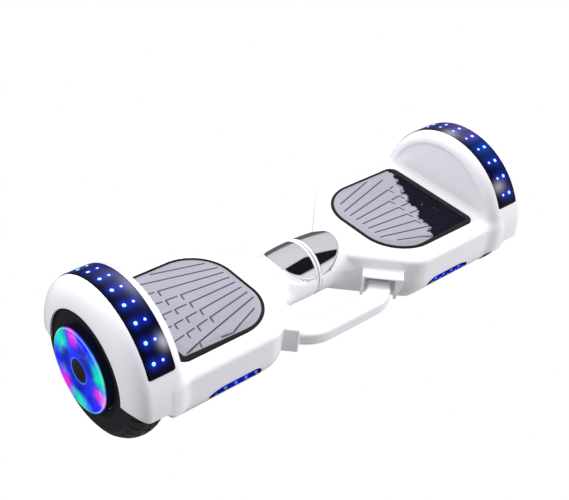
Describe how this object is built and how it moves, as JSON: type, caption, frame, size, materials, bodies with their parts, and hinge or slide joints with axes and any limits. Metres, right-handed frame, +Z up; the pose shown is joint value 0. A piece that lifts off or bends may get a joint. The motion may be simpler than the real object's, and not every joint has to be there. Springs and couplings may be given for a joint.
{
  "type": "self balancing hoverboard",
  "caption": "Two-wheeled self balancing board: twisting half bodies with foot pads, hub motor wheels under lit fenders, chrome centre caps and a carry handle.",
  "frame": {"origin": "on the ground midway between the wheels, straight under the centre shaft, at the bottom centre of the bounding box", "axes": "+X along the wheel axle towards the right half (the half with the charge port), -Y towards the carry handle side, +Z up"},
  "size_m": [0.58, 0.186, 0.178],
  "materials": {
    "cast_frame": "sand-cast, bead blasted",
    "dark_steel": "black oxide",
    "steel": "ground bright",
    "stator_copper": "lacquered copper windings on laminations",
    "rotor_alloy": "turned",
    "tyre_rubber": "moulded solid rubber, satin",
    "hub_light": "clear polycarbonate lens lit in blue, cyan, green and magenta",
    "black_plastic": "moulded satin",
    "white_shell": "polished white ABS",
    "gloss_black": "smoked polycarbonate",
    "blue_lamp": "lit lamp",
    "grey_pad": "semi-gloss moulded pad with grooves",
    "black_rubber": "satin",
    "circuit_board": "solder mask",
    "chrome_trim": "mirror plated",
    "blue_window": "lit blue window",
    "bronze": "sintered bronze",
    "battery_wrap": "blue heat-shrink wrap over steel cells, so it is given a metal density",
    "button_metal": "spun finish"
  },
  "bodies": {
    "left_half": {"left_chassis": "cast_frame", "left_axle_clamp": "cast_frame", "left_clamp_bolts": "dark_steel", "left_motor_axle": "steel", "left_stator": "stator_copper", "left_top_shell": "white_shell", "left_bottom_shell": "white_shell", "left_fender_strip": "gloss_black", "left_fender_lamps": "blue_lamp", "left_pad_gasket": "black_rubber", "left_sensor_board": "circuit_board", "left_chrome_cap": "chrome_trim", "left_light_window": "blue_window", "left_collar_ring": "white_shell", "left_shell_screws": "dark_steel", "pivot_shaft": "steel", "shaft_circlip": "dark_steel", "centre_cable": "black_rubber", "battery_pack": "battery_wrap", "battery_bracket": "steel", "handle": "white_shell", "handle_screws": "dark_steel"},
    "left_wheel": {"left_wheel_bearings": "steel", "left_magnet_ring": "dark_steel", "left_rotor_shell": "rotor_alloy", "left_motor_cover": "rotor_alloy", "left_tyre": "tyre_rubber", "left_hub_lens": "hub_light", "left_hub_cap": "black_plastic"},
    "left_pad": {"left_foot_pad": "grey_pad"},
    "right_half": {"right_chassis": "cast_frame", "right_axle_clamp": "cast_frame", "right_clamp_bolts": "dark_steel", "right_motor_axle": "steel", "right_stator": "stator_copper", "right_top_shell": "white_shell", "right_bottom_shell": "white_shell", "right_fender_strip": "gloss_black", "right_fender_lamps": "blue_lamp", "right_pad_gasket": "black_rubber", "right_sensor_board": "circuit_board", "right_chrome_cap": "chrome_trim", "right_light_window": "blue_window", "right_collar_ring": "white_shell", "right_shell_screws": "dark_steel", "pivot_bushes": "bronze", "main_board": "circuit_board", "speaker": "black_plastic", "charge_port": "black_plastic", "button_bezel": "black_plastic"},
    "right_wheel": {"right_wheel_bearings": "steel", "right_magnet_ring": "dark_steel", "right_rotor_shell": "rotor_alloy", "right_motor_cover": "rotor_alloy", "right_tyre": "tyre_rubber", "right_hub_lens": "hub_light", "right_hub_cap": "black_plastic"},
    "right_pad": {"right_foot_pad": "grey_pad"},
    "power_button_cap": {"power_button": "button_metal"},
    "port_cap": {"charge_port_cap": "black_rubber"}
  },
  "joints": [
    {"name": "half_twist", "type": "hinge", "parent": "left_half", "child": "right_half", "pos_m": [0, 0, 0.085], "axis": [1, 0, 0], "range_deg": [-7.5, 7.5]},
    {"name": "left_wheel_spin", "type": "hinge", "parent": "left_half", "child": "left_wheel", "pos_m": [-0.2568, 0, 0.085], "axis": [1, 0, 0], "continuous": true},
    {"name": "right_wheel_spin", "type": "hinge", "parent": "right_half", "child": "right_wheel", "pos_m": [0.2568, 0, 0.085], "axis": [1, 0, 0], "continuous": true},
    {"name": "left_pad_press", "type": "slide", "parent": "left_half", "child": "left_pad", "axis": [0, 0, -1], "range_m": [0, 0.0015], "stiffness_N_per_m": 60000},
    {"name": "right_pad_press", "type": "slide", "parent": "right_half", "child": "right_pad", "axis": [0, 0, -1], "range_m": [0, 0.0015], "stiffness_N_per_m": 60000},
    {"name": "power_button_press", "type": "slide", "parent": "right_half", "child": "power_button_cap", "axis": [0, -1, 0], "range_m": [0, 0.0012], "stiffness_N_per_m": 2000},
    {"name": "port_cap_swing", "type": "hinge", "parent": "right_half", "child": "port_cap", "pos_m": [0.122, 0.0919, 0.078], "axis": [0, 0, 1], "range_deg": [0, 100]}
  ]
}
